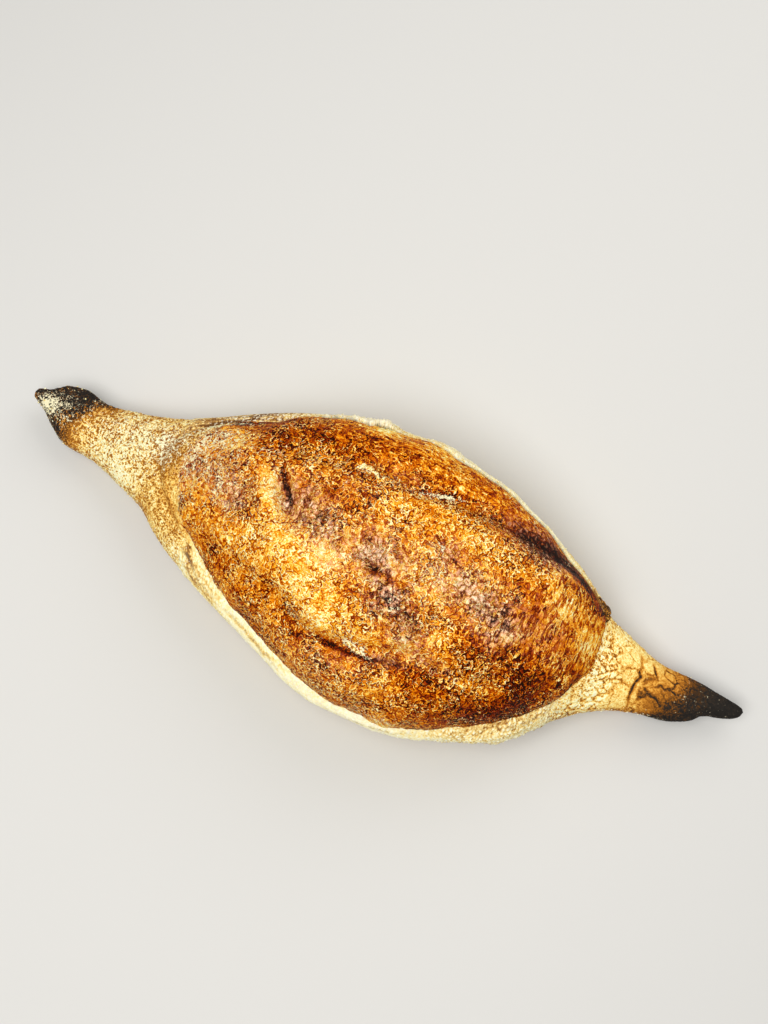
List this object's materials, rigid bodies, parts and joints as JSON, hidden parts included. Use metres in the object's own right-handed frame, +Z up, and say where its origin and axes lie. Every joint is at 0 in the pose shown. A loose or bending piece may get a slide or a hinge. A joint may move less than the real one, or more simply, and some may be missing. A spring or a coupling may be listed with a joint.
{
  "type": "bread roll",
  "caption": "Pointed hearth-baked bread roll: a floured skin drawn out to scorched tips, split along the top by a blistered golden-brown dome of crust.",
  "frame": {"origin": "middle of the bounding box's underside, on the surface that the roll lies on", "axes": "+X along the roll, from the speckled, lightly scorched tip to the black tip; +Y across it, to the edge where the floured lip is thinnest; +Z up, out of the domed crust"},
  "size_m": [0.24, 0.086, 0.054],
  "materials": {
    "crust": "baked crust: golden to deep brown, blistered and mottled, satin with a slight sheen on the dome, scorched nearly black on some high places and at the tips",
    "floured_skin": "floured dough skin: dusty cream to tan, finely crazed, matt",
    "flour": "baked-on flour and semolina grains: pale cream, powdery, fully matt"
  },
  "bodies": {
    "root": {"bread_roll": "crust"}
  },
  "joints": []
}
